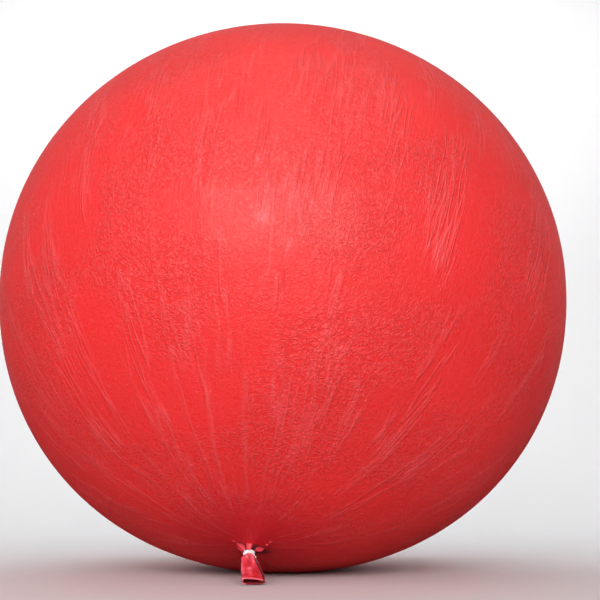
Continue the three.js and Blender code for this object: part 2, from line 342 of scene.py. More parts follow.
# The ball's lower pole becomes the neck: each ring's number gives its place along the skin
skin, ring, angle = ball_points(SKIN_SEGMENTS, FOLD_RINGS + BODY_RINGS, "skin")
neck_axes = np.array([RIGHT, UP_SKIN, OUT])
tie_distance = np.linalg.norm(np.array(TIE) - np.array(MIDDLE)) * 1000
fold_share = np.clip(ring - STEM_RINGS, 0, None) / (FOLD_RINGS - STEM_RINGS)
radius = STEM_RADIUS * (FOLDS_END / STEM_RADIUS) ** fold_share
last_polar = math.atan2(FOLDS_END, tie_distance)
body_share = np.clip(ring - FOLD_RINGS, 0, None) / BODY_RINGS
body_polar = last_polar + (math.pi - last_polar) * body_share
polar = np.where(ring > FOLD_RINGS, body_polar, np.arctan2(radius, tie_distance))
around = np.c_[np.cos(angle), np.sin(angle), np.zeros(len(angle))] @ neck_axes
direction = np.sin(polar)[:, None] * around + np.cos(polar)[:, None] * np.array(OUT)
body_points = np.array(MIDDLE) + direction * skin_distance(direction)[:, None]

# Heights of the gathered skin over the body: the stem, the folds on it, and fine ripples
past_stem = radius - STEM_RADIUS
to_tie = -(body_points - np.array(TIE)) @ np.array(OUT) * 1000
stem = to_tie / (1 + (past_stem / STEM_HALVED_AT) ** STEM_CURVE) * np.exp(-((past_stem / STEM_SUNK_AT) ** 2))
height = stem
gathered = np.zeros(len(angle))
crease_shade = np.zeros(len(angle))
for at, half_width, top, start, end, swell, swerve, fall in FOLDS:
    begin = start if start else STEM_RADIUS
    run = np.clip((radius - begin) / (end - begin), 0, 1)
    middle = math.radians(at) + math.radians(swerve) * run
    off = (angle - middle + math.pi) % (2 * math.pi) - math.pi
    pinch = 1 - FOLD_PINCH * (1 - fade(past_stem, 0, PINCH_REACH))
    width = half_width * pinch * (1 - FOLD_TAPER * run * (1 - swell))
    if start:
        hump = rounded(np.abs(2 * run - 1), swell)
        width *= np.maximum(hump, LEAST_HUMP)
        crest = top * hump
    else:
        crest = top * (1 - run**fall) ** (1 / fall)
    away = np.abs(off) * radius / width
    height = np.maximum(height, stem + (crest - stem) * rounded(away, swell))
    stands = np.clip(crest / FULL_CREST, 0, 1)
    gathered = np.maximum(gathered, stands * (1 - fade(away, *FOLD_EDGE)))
    # Painted shade: a dark crease along both edges of each fold
    crease_shade = np.maximum(crease_shade, stands * np.exp(-(((away - CREASE_AT) / CREASE_WIDTH) ** 2)))
cord_room = CORD_ROOM + CORD_ROOM_MORE * fade(radius, *CORD_ROOM_GROWS)
height = np.where(past_stem > STEM_EDGE, np.minimum(height, cord_room), height)
ripple = np.zeros(len(angle))
for swing, count, sway, sway_count, sway_start in RIPPLES:
    ripple += swing * np.sin(angle * count + sway * np.sin(angle * sway_count + math.radians(sway_start)))
height += ripple * fade(past_stem, 0, RIPPLE_FROM) * (1 - fade(radius, *RIPPLE_FADES)) * (1 - gathered)
lifted = body_points + np.array(OUT) * (height * (1 - fade(radius, *LIFT_FADES)))[:, None] / 1000

# How much painted shade each point has, from 0 on the open skin to 1
shadow_patch = np.zeros(len(angle))
for right_at, up_at, reach_right, reach_up in SHADOW_PATCHES:
    shadow_right = (radius * np.cos(angle) - right_at) / reach_right
    shadow_up = (radius * np.sin(angle) - up_at) / reach_up
    shadow_patch = np.maximum(shadow_patch, SHADE_DARKNESS * np.exp(-(shadow_right**4) - shadow_up**2))
above = np.clip(np.sin(angle), 0, 1) ** 2
stem_shade_start, stem_shade_end = STEM_SHADE
shade_beside_stem = SHADE_DARKNESS * (1 - fade(past_stem, stem_shade_start, stem_shade_end - STEM_SHADE_LESS * above))
painted_shade = np.maximum(np.maximum(shadow_patch, shade_beside_stem) * (1 - gathered), CREASE_SHADE * crease_shade)
painted_shade *= ring >= STEM_RINGS

# The first rings close the stem inside the tie: a point, a rim a little way out, and the stem's edge
cap_rise = np.where(ring < STEM_RINGS - 1, STEM_CAP_RISE, 0.0)
cap_radius = np.select([ring == 0, ring == 1], [0.0, STEM_CAP_RADIUS], STEM_RADIUS)
cap_points = np.array(TIE) + (np.array(OUT) * cap_rise[:, None] + around * cap_radius[:, None]) / 1000
points = np.where((ring > FOLD_RINGS)[:, None], body_points, lifted)
points = np.where((ring < STEM_RINGS)[:, None], cap_points, points)
finish_form(skin, points)
keep_places(skin, "neck_place", (points - np.array(MIDDLE)) @ neck_axes.T)
keep_values(skin, "painted_shade", painted_shade)
keep_values(skin, "gathered", gathered)

# How dipped latex looks close by, as a group: patches of fine crackle from the stretching, flecks of the
# powder that keeps it from sticking, and a cloudy change of depth. Its place and sizes are in metres.
CRACKLE_SIZE = 0.0055
CRACKLE_DETAIL = 1.5
CRACKLE_SWIRL = 0.6
CRACKLE_SHARPNESS = 8.0
PATCH_SIZE = 0.11
PATCH_EDGE = (0.40, 0.58)
LEAST_CRACKLE = 0.4
FLECK_SIZE = 0.0040
FLECK_EDGE = (0.74, 0.82)
CLOUD_SIZE = 0.14
CLOUD_RANGE = (0.3, 0.7)
CLOUD_DETAIL = 3.0


def maths(tree, operation, *values, clamp=False):
    """One step of arithmetic on values or sockets."""
    return node_in(tree, "Math", *values, operation=operation, use_clamp=clamp).outputs[0]


def mixed(tree, share, low, high):
    """A colour that goes from low to high as a share goes from 0 to 1."""
    mix = node_in(tree, "Mix", share, None, None, None, None, None, low, high, data_type="RGBA")
    return mix.outputs[2]


def grain(tree, place, size, detail=1.0, swirl=0.0, output="Fac"):
    """Cloudy noise with spots of a size, as a value or as a colour."""
    made = node_in(tree, "TexNoise", place)
    set_named(made, {"Scale": 1 / size, "Detail": detail, "Distortion": swirl})
    return made.outputs[output]


def mask(tree, value, low, high):
    """0 where the value is low, 1 where it is high, and smooth between."""
    return ramp(tree, value, low, high, interpolation_type="SMOOTHSTEP")


def ridge_lines(tree, value, sharpness):
    """1 along the lines where a noise crosses its middle, falling off to 0 beside them."""
    away = maths(tree, "ABSOLUTE", maths(tree, "SUBTRACT", value, 0.5))
    return maths(tree, "SUBTRACT", 1.0, maths(tree, "MULTIPLY", away, sharpness), clamp=True)


def new_group(name, inputs, outputs):
    """An empty shader group with vector inputs and float outputs, and its two end nodes."""
    group = bpy.data.node_groups.new(name, "ShaderNodeTree")
    for socket in inputs:
        group.interface.new_socket(socket, in_out="INPUT", socket_type="NodeSocketVector")
    for socket in outputs:
        group.interface.new_socket(socket, in_out="OUTPUT", socket_type="NodeSocketFloat")
    return group, group.nodes.new("NodeGroupInput"), group.nodes.new("NodeGroupOutput")


def add_bump(tree, shader, height, strength, distance):
    """Relief on a shader: how strongly it shades, and how far a height of 1 stands out, in metres."""
    bump = node_in(tree, "Bump")
    set_named(bump, {"Strength": strength, "Distance": distance, "Height": height})
    set_named(shader, {"Normal": bump.outputs[0]})


film, film_start, film_end = new_group("latex_film", ["Place"], ["Crackle", "Flecks", "Clouds"])
spot = film_start.outputs["Place"]
crackle = grain(film, spot, CRACKLE_SIZE, CRACKLE_DETAIL, CRACKLE_SWIRL)
patches = mask(film, grain(film, spot, PATCH_SIZE, CLOUD_DETAIL), *PATCH_EDGE)
patches = maths(film, "MULTIPLY_ADD", patches, 1 - LEAST_CRACKLE, LEAST_CRACKLE)
crackle = maths(film, "MULTIPLY", ridge_lines(film, crackle, CRACKLE_SHARPNESS), patches)
flecks = mask(film, grain(film, spot, FLECK_SIZE, 0.0), *FLECK_EDGE)
clouds = grain(film, spot, CLOUD_SIZE, CLOUD_DETAIL)
set_named(film_end, {"Crackle": crackle, "Flecks": flecks, "Clouds": clouds})

# Skin latex: long thin ridges run in bundles from the neck to the crown, as the film thins under stretch.
# Near the neck it is thick, so it is deeper in colour there and crackles less. Painted shade turns it dark
# red in the shadow patches, round the stem and along the folds' creases.
SKIN_RED = (0.775, 0.011, 0.011, 1)
THICK_RED = (0.60, 0.001, 0.010, 1)
# The painted shade's dark red
SHADE_RED = (0.06, 0.001, 0.004, 1)
FOLD_RED = (0.74, 0.034, 0.060, 1)
RIDGE_PINK = (0.90, 0.20, 0.22, 1)
# Each row of ridges: how many go round at the equator, where they start and end in degrees from the neck,
# and their strength
RIDGE_ROWS = [
    (680, (52, 66), (181, 182), 1.0),
    (350, (24, 34), (60, 78), 1.0),
    (150, (9, 13), (30, 42), 1.0),
    (66, (2.5, 5), (13, 18), 0.9),
]
RIDGE_SPOTS = 0.62
RIDGE_LENGTH = 5.5
RIDGE_DETAIL = 0.6
RIDGE_SHARPNESS = 10.0
RIDGE_WANDER = 0.09
WANDER_SIZE = 0.25
WANDER_DETAIL = 1.5
BUNDLES = 64
BUNDLE_LENGTH = 2.4
BUNDLE_EDGE = (0.46, 0.61)
LEAST_BUNDLE = 0.12
THICK_UNTIL = (math.radians(2), math.radians(20))
THICK_CALMS = 0.5
FOLD_CALMS = 0.9
# How much paler each makes the film
RIDGE_PALES = 0.13
CRACKLE_PALES = 0.12
FLECK_PALES = 0.15
DEPTH_RANGE = (0.95, 1.05)
CRACKLE_RELIEF = 0.95
SKIN_BUMP = (0.8, 0.0011)
# The roughness goes from the smooth film's to a ridge's, and where shade is painted it is rougher and has no
# coat
SKIN_ROUGHNESS = (0.55, 0.47)
SHADE_ROUGHENS = 0.35
SKIN_COAT = 0.10
SKIN_FINISH = {"Specular IOR Level": 0.48, "Coat Roughness": 0.15}

skin_latex, skin_tree, skin_shader = new_paint("skin_latex")
neck_place = node_in(skin_tree, "Attribute", attribute_name="neck_place").outputs["Vector"]
parts = node_in(skin_tree, "SeparateXYZ", neck_place)
level = node_in(skin_tree, "CombineXYZ", parts.outputs["X"], parts.outputs["Y"], 0.0).outputs[0]
circle = node_in(skin_tree, "VectorMath", level, operation="NORMALIZE").outputs[0]
off_axis = node_in(skin_tree, "VectorMath", level, operation="LENGTH").outputs["Value"]
from_neck = maths(skin_tree, "ARCTAN2", off_axis, parts.outputs["Z"])
wander = grain(skin_tree, neck_place, WANDER_SIZE, WANDER_DETAIL, output="Color")
wander = node_in(skin_tree, "VectorMath", wander, (0.5, 0.5, 0.5), operation="SUBTRACT").outputs[0]
wander = node_in(skin_tree, "VectorMath", wander, None, None, RIDGE_WANDER, operation="SCALE").outputs[0]
run_along = node_in(skin_tree, "CombineXYZ", 0.0, 0.0, from_neck).outputs[0]
on_circle = node_in(skin_tree, "VectorMath", circle, wander, operation="ADD").outputs[0]
on_circle = node_in(skin_tree, "VectorMath", on_circle, run_along, operation="ADD").outputs[0]


def stretched(count, length):
    """Noise drawn out along the meridians: spots count round the equator and length per radian along."""
    turns = count / (2 * math.pi)
    place = node_in(skin_tree, "VectorMath", on_circle, (turns, turns, length), operation="MULTIPLY")
    return grain(skin_tree, place.outputs[0], 1.0, RIDGE_DETAIL)


ridges = None
for count, starts, ends, strength in RIDGE_ROWS:
    row = ridge_lines(skin_tree, stretched(count * RIDGE_SPOTS, RIDGE_LENGTH), RIDGE_SHARPNESS)
    shown = mask(skin_tree, from_neck, *(math.radians(degrees) for degrees in starts))
    gone = mask(skin_tree, from_neck, *(math.radians(degrees) for degrees in ends))
    shown = maths(skin_tree, "SUBTRACT", shown, gone, clamp=True)
    row = maths(skin_tree, "MULTIPLY", row, maths(skin_tree, "MULTIPLY", shown, strength))
    ridges = row if ridges is None else maths(skin_tree, "ADD", ridges, row)
bundles = mask(skin_tree, stretched(BUNDLES, BUNDLE_LENGTH), *BUNDLE_EDGE)
bundles = maths(skin_tree, "MULTIPLY_ADD", bundles, 1 - LEAST_BUNDLE, LEAST_BUNDLE)
ridges = maths(skin_tree, "MULTIPLY", ridges, bundles)

skin_film = node_in(skin_tree, "Group", neck_place, node_tree=film).outputs
on_fold = node_in(skin_tree, "Attribute", attribute_name="gathered").outputs["Fac"]
in_painted_shade = node_in(skin_tree, "Attribute", attribute_name="painted_shade").outputs["Fac"]
thinness = mask(skin_tree, from_neck, *THICK_UNTIL)
off_fold = maths(skin_tree, "MULTIPLY_ADD", on_fold, -FOLD_CALMS, 1.0)
crackle = maths(skin_tree, "MULTIPLY_ADD", thinness, THICK_CALMS, 1 - THICK_CALMS)
crackle = maths(skin_tree, "MULTIPLY", crackle, skin_film["Crackle"])
crackle = maths(skin_tree, "MULTIPLY", crackle, off_fold)
ridges = maths(skin_tree, "MULTIPLY", ridges, off_fold)
paleness = maths(skin_tree, "MULTIPLY", ridges, RIDGE_PALES)
paleness = maths(skin_tree, "MULTIPLY_ADD", crackle, CRACKLE_PALES, paleness)
paleness = maths(skin_tree, "MULTIPLY_ADD", skin_film["Flecks"], FLECK_PALES, paleness, clamp=True)
depth = ramp(skin_tree, skin_film["Clouds"], *CLOUD_RANGE, *DEPTH_RANGE)
shade = mixed(skin_tree, thinness, THICK_RED, SKIN_RED)
shade = mixed(skin_tree, paleness, shade, RIDGE_PINK)
shade = node_in(skin_tree, "HueSaturation", None, None, depth, None, shade).outputs[0]
shade = mixed(skin_tree, on_fold, shade, FOLD_RED)
# Painted shade: dark red in the shadow patches, round the stem and in the folds' creases
shade = mixed(skin_tree, in_painted_shade, shade, SHADE_RED)
relief = maths(skin_tree, "ADD", maths(skin_tree, "MULTIPLY", crackle, CRACKLE_RELIEF), ridges)
roughness = ramp(skin_tree, relief, 0.0, 1.0, *SKIN_ROUGHNESS)
roughness = maths(skin_tree, "MULTIPLY_ADD", in_painted_shade, SHADE_ROUGHENS, roughness, clamp=True)
coat = maths(skin_tree, "MULTIPLY_ADD", in_painted_shade, -SKIN_COAT, SKIN_COAT, clamp=True)
set_named(skin_shader, {"Base Color": shade, "Roughness": roughness, "Coat Weight": coat, **SKIN_FINISH})
add_bump(skin_tree, skin_shader, relief, *SKIN_BUMP)
skin.data.materials.append(skin_latex)
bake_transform(skin)
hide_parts("envelope", "throat")

# The tail: the neck past the tie, an empty sleeve of thick latex pressed nearly flat. Its right side is
# folded under in a pleat, and it runs down and forward to an open mouth on the floor.
SLEEVE_WALL = 0.55
SLEEVE_SPAN = 8
OUTER_RINGS = 72
INNER_RINGS = 40
INNER_FROM = 0.13
# Its middle line: how far it runs straight on, and its end, the middle of the mouth, right of and behind
# the pivot and over the floor
TAIL_STRAIGHT = 18.0
MOUTH_FROM_PIVOT = (7.6, -38.0)
MOUTH_HEIGHT = 6.3
# The line's start past the tie and the reach either way over which its direction is read, in metres
LINE_START = 0.0005
LINE_REACH = 0.002
LINE_STEPS = 200
# The lower lip stands back from the upper one, more and more over the last part of the length, and the
# back counts as the lower side in full from a depth below the middle
LOWER_LIP_BACK = 4.0
LOWER_LIP_FROM = 0.6
LOWER_DEPTH = 4.0
# Sections of the flat sleeve: share of its length, then in millimetres across from its middle the left
# edge, the front panel's right edge and the right edge of the strip behind it, then the panel's height, the
# back's depth, how the panel slopes down to the right, and how much lower the pleat lies
STATIONS = [
    (0.10, -9.3, 7.9, 11.0, 3.5, 3.3, 0.0, 0.0),
    (0.20, -8.9, 9.8, 14.0, 3.7, 3.5, 0.0, 0.0),
    (0.45, -9.4, 13.1, 18.5, 4.5, 4.1, 0.0, 0.0),
    (0.75, -11.4, 14.7, 19.8, 4.8, 4.6, -0.02, 0.2),
    (1.00, -13.6, 14.2, 18.2, 2.9, 6.8, -0.11, 1.3),
]
# Points round a section. Over the panel: share of the way across it, share of its height
PANEL_POINTS = [(0, 0.13), (0.06, 0.62), (0.27, 0.91), (0.53, 1), (0.81, 0.87), (1, 0.6)]
# In the pleat and over the strip: distance right of the panel's edge, share of the strip's width, height
PLEAT_POINTS = [
    (-0.5, 0, 1.4), (-3.2, 0, 0.2), (-0.6, 0, -0.5),
    (0, 0.66, -0.6), (0, 0.92, -0.75), (0, 1, -1.7),
]
# Over the back: share of the way from the strip to the left edge, share of its depth
BACK_POINTS = [(0.05, 0.78), (0.28, 0.96), (0.55, 1), (0.78, 0.96), (0.94, 0.6)]
# Each point's tone, as painted light and shade: from -1, painted shade deep in the pleat and over the back
# and underside, to 1, a painted highlight, pale on the panel's left edge
POINT_TONES = [0.25, 0.1, 0, 0, 0, 0, -0.95, -1, -1, -1, -0.4, -1, -1, -1, -1, -0.9, -0.4]
TONE_STARTS = (0.04, 0.14)
# A swelling is painted paler as a painted highlight, and a dent darker as painted shade, by this tone for
# each millimetre. Inside the mouth the sleeve is painted dark as painted shade, to this tone, fading in
# between these distances in from the mouth
TONE_OF_BULGE = 0.75
INSIDE_TONE = -0.75
INSIDE_DARKENS = (-0.6, 2.4)
# At its root the sleeve is round: each point's place on the circle
ROOT_RADIUS = 5.8
ROOT_DEGREES = [180, 152, 124, 96, 68, 44, 32, 24, 16, 8, 0, -20, -48, -78, -108, -134, -158]
# Dents and swellings: share of the length, place across, reach along and across in millimetres, depth
DENTS = [
    (0.09, 1.8, 1.4, 1.3, -1.0),
    (0.15, 4.0, 1.8, 1.0, -0.5),
    (0.10, -6.0, 3.0, 2.4, 0.4),
    (0.10, 5.4, 5.0, 1.3, 0.6),
    (0.22, 7.4, 5.5, 1.6, 1.0),
    (0.19, -3.0, 3.5, 2.2, 0.25),
    (0.24, 1.8, 5.0, 2.4, -0.6),
    (0.34, -2.5, 4.0, 2.4, -0.4),
    (0.50, -8.6, 18.0, 1.8, 0.8),
    (0.53, 1.0, 3.8, 3.2, 1.2),
    (0.74, -0.5, 4.4, 2.8, 0.8),
    (0.80, -7.5, 2.6, 2.6, -0.8),
    (0.68, 10.0, 9.0, 2.2, -0.5),
    (0.90, 7.0, 3.0, 3.5, -0.3),
]
# Small gathers under the tie: how high they are, their middle and reach as shares of the length, and for
# each wave its share of the height, how many go round and where it starts
GATHER_HEIGHT = 0.22
GATHER_AT = 0.07
GATHER_REACH = 0.10
GATHER_WAVES = [(1.0, 9, 0.7), (0.7, 15, 2.1)]


def flat_section(left, panel, strip, rise, depth, slope, drop):
    """A station's points, rightward and upward, from the left edge over the front, pleat and back."""
    points = [(left + (panel - left) * across, rise * up) for across, up in PANEL_POINTS]
    points += [(panel + right + (strip - panel) * share, up - drop) for right, share, up in PLEAT_POINTS]
    points = [(across, up + slope * across) for across, up in points]
    return points + [(strip + (left - strip) * share, -depth * down) for share, down in BACK_POINTS]


root_turns = np.radians(ROOT_DEGREES)
root_section = ROOT_RADIUS * np.c_[np.cos(root_turns), np.sin(root_turns)]
SECTION_SHARES = np.array([0.0] + [station[0] for station in STATIONS])
SECTIONS = np.array([root_section] + [flat_section(*station[1:]) for station in STATIONS])

# The sleeve's middle line: straight out of the tie, then one curve down to the middle of the mouth
mouth_right, mouth_back = MOUTH_FROM_PIVOT
mouth = Vector((TAIL_PIVOT.x + mouth_right / 1000, TAIL_PIVOT.y + mouth_back / 1000, MOUTH_HEIGHT / 1000))
bend = TAIL_PIVOT + OUT * TAIL_STRAIGHT / 1000
steps = np.linspace(0, 1, LINE_STEPS)[:, None]
curve = (1 - steps) ** 2 * np.array(TAIL_PIVOT) + 2 * steps * (1 - steps) * np.array(bend)
curve += steps**2 * np.array(mouth)
sleeve_line = np.vstack([np.array(TIE + OUT * LINE_START), curve])
line_length = np.r_[0, np.cumsum(np.linalg.norm(np.diff(sleeve_line, axis=0), axis=1))]
TAIL_LENGTH = line_length[-1] * 1000


def on_line(at):
    """The sleeve's middle line at distances along it, in metres."""
    return np.stack([np.interp(at, line_length, sleeve_line[:, k]) for k in range(3)], 1)


def sleeve_frame(share):
    """Middle, right, up and onward directions of the sleeve at shares of its length."""
    at = share * line_length[-1]
    onward = on_line(at + LINE_REACH) - on_line(at - LINE_REACH)
    onward /= np.linalg.norm(onward, axis=1)[:, None]
    right = np.cross((0, 0, 1), onward)
    right /= np.linalg.norm(right, axis=1)[:, None]
    return on_line(at), right, np.cross(onward, right), onward


def round_spline(corners):
    """A closed smooth line through corners, with SLEEVE_SPAN points for each."""
    before, here, then, beyond = (np.roll(corners, shift, axis=0)[:, None, :] for shift in (1, 0, -1, -2))
    t = (np.arange(SLEEVE_SPAN) / SLEEVE_SPAN)[None, :, None]
    spline = 2 * here + (then - before) * t + (2 * before - 5 * here + 4 * then - beyond) * t**2
    spline += (3 * here - before - 3 * then + beyond) * t**3
    return (0.5 * spline).reshape(-1, corners.shape[1])


def sleeve_section(share):
    """The sleeve's closed section at one share of its length, smooth along it and round its points."""
    slopes = np.gradient(SECTIONS, SECTION_SHARES, axis=0)
    i = int(np.clip(np.searchsorted(SECTION_SHARES, share) - 1, 0, len(SECTION_SHARES) - 2))
    gap = SECTION_SHARES[i + 1] - SECTION_SHARES[i]
    t = (share - SECTION_SHARES[i]) / gap
    corners = (2 * t**3 - 3 * t**2 + 1) * SECTIONS[i] + (3 * t**2 - 2 * t**3) * SECTIONS[i + 1]
    corners += gap * ((t**3 - 2 * t**2 + t) * slopes[i] + (t**3 - t**2) * slopes[i + 1])
    return round_spline(corners)


def sleeve_ring(share, inset):
    """A ring of the sleeve, drawn in by an inset, and the painted light and shade of each of its points."""
    section = sleeve_section(share)
    run = np.roll(section, -1, axis=0) - np.roll(section, 1, axis=0)
    outward = np.c_[-run[:, 1], run[:, 0]] / np.linalg.norm(run, axis=1)[:, None]
    bulge = np.zeros(len(section))
    for at, across, reach_along, reach_across, dent in DENTS:
        off_along = (share - at) * TAIL_LENGTH / reach_along
        off_across = (section[:, 0] - across) / reach_across
        bulge += dent * np.exp(-(off_along**2) - off_across**2) * (section[:, 1] > 0)
    turn = np.arange(len(section)) / len(section) * 2 * math.pi
    gathers = sum(part * np.sin(turn * count + start) for part, count, start in GATHER_WAVES)
    push = bulge + GATHER_HEIGHT * gathers * math.exp(-(((share - GATHER_AT) / GATHER_REACH) ** 2))
    tone = np.clip(round_spline(np.array(POINT_TONES)[:, None])[:, 0], -1, 1) * fade(share, *TONE_STARTS)
    return section + outward * (push - inset)[:, None], tone + TONE_OF_BULGE * bulge


def set_back(across_up):
    """How far the lower lip stands back from the upper one, in millimetres."""
    return LOWER_LIP_BACK * np.clip(-across_up[:, 1] / LOWER_DEPTH, 0, 1)


# The ball's rings become the outside from the tie to the mouth, and then the inside back up again
points_round = SLEEVE_SPAN * len(ROOT_DEGREES)
tail, ring, angle = ball_points(points_round, OUTER_RINGS + INNER_RINGS, "tail")
column = -np.rint(angle / (2 * math.pi) * points_round).astype(int) % points_round
outer_shares = np.linspace(0, 1, OUTER_RINGS)
inner_shares = np.linspace(1, INNER_FROM, INNER_RINGS)[:-1]
rings = [sleeve_ring(share, 0.0) for share in outer_shares]
rings += [sleeve_ring(share, SLEEVE_WALL) for share in inner_shares]
caps = []
for share in (0, INNER_FROM):
    cap_middle = sleeve_section(share).mean(0)
    caps.append((np.tile(cap_middle, (points_round, 1)), np.zeros(points_round)))
rings = [caps[0]] + rings + [caps[1]]
ring_shares = np.r_[0, outer_shares, inner_shares, INNER_FROM]
across_up = np.array([section for section, _ in rings])[ring, column]
tone = np.array([tones for _, tones in rings])[ring, column]
shares = ring_shares[ring]
from_mouth = (1 - shares) * TAIL_LENGTH
# Inside the mouth the sleeve is painted dark as painted shade
tone = np.where(ring > OUTER_RINGS, INSIDE_TONE * fade(from_mouth, *INSIDE_DARKENS), tone)
middle, right, up, onward = sleeve_frame(shares)
back = set_back(across_up) * fade(shares, LOWER_LIP_FROM, 1)
points = middle + (right * across_up[:, :1] + up * across_up[:, 1:] - onward * back[:, None]) / 1000
finish_form(tail, points)
keep_places(tail, "sleeve_place", np.c_[across_up / 1000, shares * TAIL_LENGTH / 1000])
keep_values(tail, "tone", tone)

# Tail latex: the film is hardly stretched here, so it is thicker, deeper in colour and a little glossier.
# Fine creases run down it. Its tone paints highlights pale pink and shade dark red.
TAIL_RED = (0.66, 0.012, 0.024, 1)
TAIL_PINK = (0.95, 0.17, 0.24, 1)
# The painted shade's dark red
TAIL_SHADE = (0.09, 0.001, 0.005, 1)
CREASE_STRETCH = (1.0, 1.0, 0.16)
CREASE_SIZE = 0.0030
CREASE_DETAIL = 2.0
CREASE_SWIRL = 0.3
CREASE_SHARPNESS = 4.0
TAIL_CLOUD_SIZE = 0.008
TAIL_CLOUD_DETAIL = 2.0
TAIL_CLOUD_EDGE = (0.44, 0.62)
CREASE_PALES = 0.10
CLOUD_PALES = 0.16
TAIL_BUMP = (0.5, 0.0004)
TAIL_ROUGHNESS = (0.34, 0.46)
TAIL_SHADE_ROUGHENS = 0.5
TAIL_FINISH = {"Specular IOR Level": 0.6, "Coat Weight": 0.15, "Coat Roughness": 0.25}

tail_latex, tail_tree, tail_shader = new_paint("tail_latex")
sleeve_place = node_in(tail_tree, "Attribute", attribute_name="sleeve_place").outputs["Vector"]
drawn_out = node_in(tail_tree, "VectorMath", sleeve_place, CREASE_STRETCH, operation="MULTIPLY").outputs[0]
creases = grain(tail_tree, drawn_out, CREASE_SIZE, CREASE_DETAIL, CREASE_SWIRL)
creases = ridge_lines(tail_tree, creases, CREASE_SHARPNESS)
tail_film = node_in(tail_tree, "Group", sleeve_place, node_tree=film).outputs
clouds = mask(tail_tree, grain(tail_tree, sleeve_place, TAIL_CLOUD_SIZE, TAIL_CLOUD_DETAIL), *TAIL_CLOUD_EDGE)
tone_in = node_in(tail_tree, "Attribute", attribute_name="tone").outputs["Fac"]
paleness = maths(tail_tree, "MULTIPLY", creases, CREASE_PALES)
paleness = maths(tail_tree, "MULTIPLY_ADD", clouds, CLOUD_PALES, paleness)
paleness = maths(tail_tree, "MULTIPLY_ADD", tail_film["Flecks"], FLECK_PALES, paleness)
# A positive tone is a painted highlight, paler. A negative one is painted shade, mixed toward the dark red.
paleness = maths(tail_tree, "ADD", paleness, maths(tail_tree, "MAXIMUM", tone_in, 0.0), clamp=True)
in_tail_shade = maths(tail_tree, "MULTIPLY", tone_in, -1.0, clamp=True)
shade = mixed(tail_tree, paleness, TAIL_RED, TAIL_PINK)
shade = mixed(tail_tree, in_tail_shade, shade, TAIL_SHADE)
roughness = ramp(tail_tree, tail_film["Clouds"], *CLOUD_RANGE, *TAIL_ROUGHNESS)
roughness = maths(tail_tree, "MULTIPLY_ADD", in_tail_shade, TAIL_SHADE_ROUGHENS, roughness, clamp=True)
set_named(tail_shader, {"Base Color": shade, "Roughness": roughness, **TAIL_FINISH})
add_bump(tail_tree, tail_shader, creases, *TAIL_BUMP)
tail.data.materials.append(tail_latex)
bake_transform(tail)
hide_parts("neck_core", "tail_sleeve")

# The lip: the mouth's edge is rolled outwards a few turns into a bead, all round the pleated opening.
# It is part of the same film. Its upper side is painted pale as a painted highlight and its lower side dark
# as painted shade.
LIP_RADIUS = 1.15
LIP_SIDES = 14
LOWER_LIP_THINNER = 0.4
# It starts as a ring with a radius of 1 and this tube
RING_TUBE = 0.25
# The roll ends in a small step: its depth as a share of the bead, where it is round the bead, its reach
ROLL_STEP = 0.16
ROLL_STEP_AT = 2.2
ROLL_STEP_REACH = 0.5
# Where the pleat brings two stretches of the edge close together, the bead on each takes up a share of the
# room between them. Points nearer than this along the edge are the same stretch.
PLEAT_SEPARATION = 2.5
PINCH_SHARE = 0.48
PINCH_LEAST = 0.25
PINCH_SMOOTHINGS = 6
# The lip's tone as a painted highlight above and as painted shade below, how fast the edge's own painted
# shade turns it dark, and where from the left that starts and is full, because the curl at the left end stays
# pale
UPPER_LIP_TONE = 0.6
LOWER_LIP_TONE = -0.65
EDGE_TONE_TO_DARK = -1.4
LEFT_CURL = (-8.5, -5.5)

bpy.ops.object.select_all(action="DESELECT")
bpy.ops.mesh.primitive_torus_add(
    major_segments=points_round, minor_segments=LIP_SIDES, major_radius=1, minor_radius=RING_TUBE
)
lip = bpy.context.object
lip.name = "lip"
ring_points = read_points(lip)
lip_turn = np.arctan2(ring_points[:, 1], ring_points[:, 0])
lip_column = -np.rint(lip_turn / (2 * math.pi) * points_round).astype(int) % points_round
roll = np.arctan2(ring_points[:, 2], np.hypot(ring_points[:, 0], ring_points[:, 1]) - 1)
edge, edge_tone = sleeve_ring(1.0, SLEEVE_WALL / 2)
edge_run = np.roll(edge, -1, axis=0) - np.roll(edge, 1, axis=0)
edge_outward = np.c_[-edge_run[:, 1], edge_run[:, 0]] / np.linalg.norm(edge_run, axis=1)[:, None]
edge_at = np.cumsum(np.linalg.norm(np.roll(edge, -1, axis=0) - edge, axis=1))
run_between = np.abs(edge_at[:, None] - edge_at[None, :])
run_between = np.minimum(run_between, edge_at[-1] - run_between)
room_between = np.linalg.norm(edge[:, None] - edge[None, :], axis=2)
room_between[run_between < PLEAT_SEPARATION] = 2 * PLEAT_SEPARATION
pinched = np.clip(PINCH_SHARE * room_between.min(axis=1), PINCH_LEAST, LIP_RADIUS)
for _ in range(PINCH_SMOOTHINGS):
    pinched = (np.roll(pinched, 1) + pinched + np.roll(pinched, -1)) / 3
edge, edge_outward, edge_tone = edge[lip_column], edge_outward[lip_column], edge_tone[lip_column]
is_lower = np.clip(-edge[:, 1] / LOWER_DEPTH, 0, 1)
from_step = np.abs((roll - ROLL_STEP_AT + math.pi) % (2 * math.pi) - math.pi)
stepped = 1 - ROLL_STEP * np.clip(1 - from_step / ROLL_STEP_REACH, 0, 1)
bead = pinched[lip_column] * stepped * (1 - LOWER_LIP_THINNER * is_lower)
across_up = edge + edge_outward * (bead * np.cos(roll))[:, None]
middle, right, up, onward = (axis[0] for axis in sleeve_frame(np.array([1.0])))
forward = bead * np.sin(roll) - set_back(edge)
points = middle + (right * across_up[:, :1] + up * across_up[:, 1:] + onward * forward[:, None]) / 1000
finish_form(lip, points)
